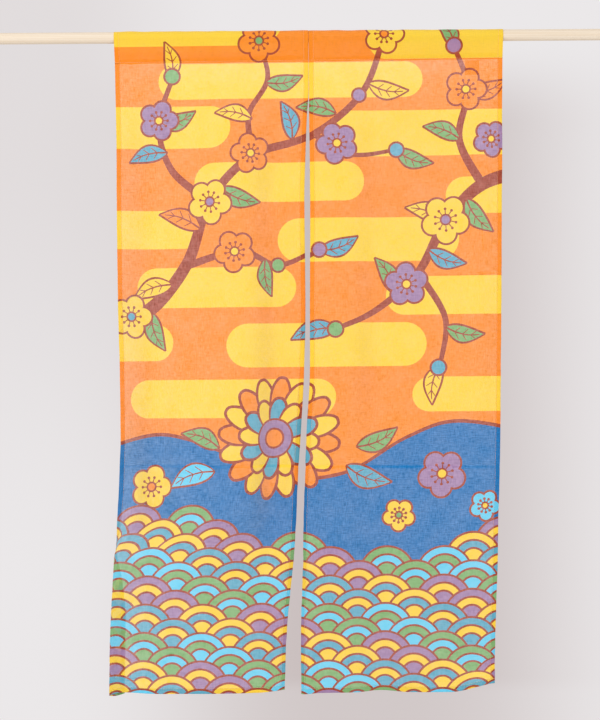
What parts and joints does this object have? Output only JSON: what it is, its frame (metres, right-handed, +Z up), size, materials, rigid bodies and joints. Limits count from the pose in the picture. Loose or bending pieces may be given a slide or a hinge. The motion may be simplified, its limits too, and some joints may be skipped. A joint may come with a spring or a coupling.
{
  "type": "noren curtain on a wooden pole",
  "caption": "Split doorway curtain of thin printed cotton, its top folded into a pocket over a round wooden pole, the panels parting below the seam.",
  "frame": {"origin": "on the pole's axis, at the middle of the cloth's width", "axes": "+X along the pole to the right seen from the front, +Y from the front of the cloth to its back, +Z up"},
  "size_m": [1.4, 0.0691, 1.4554],
  "materials": {
    "printed_cotton": "thin plain-woven cotton voile, printed, slightly see-through, matte",
    "pale_wood": "planed pale softwood, unvarnished",
    "label_tape": "blank woven tape"
  },
  "bodies": {
    "root": {"left_panel": "printed_cotton", "right_panel": "printed_cotton", "pole": "pale_wood", "label": "label_tape"}
  },
  "joints": []
}
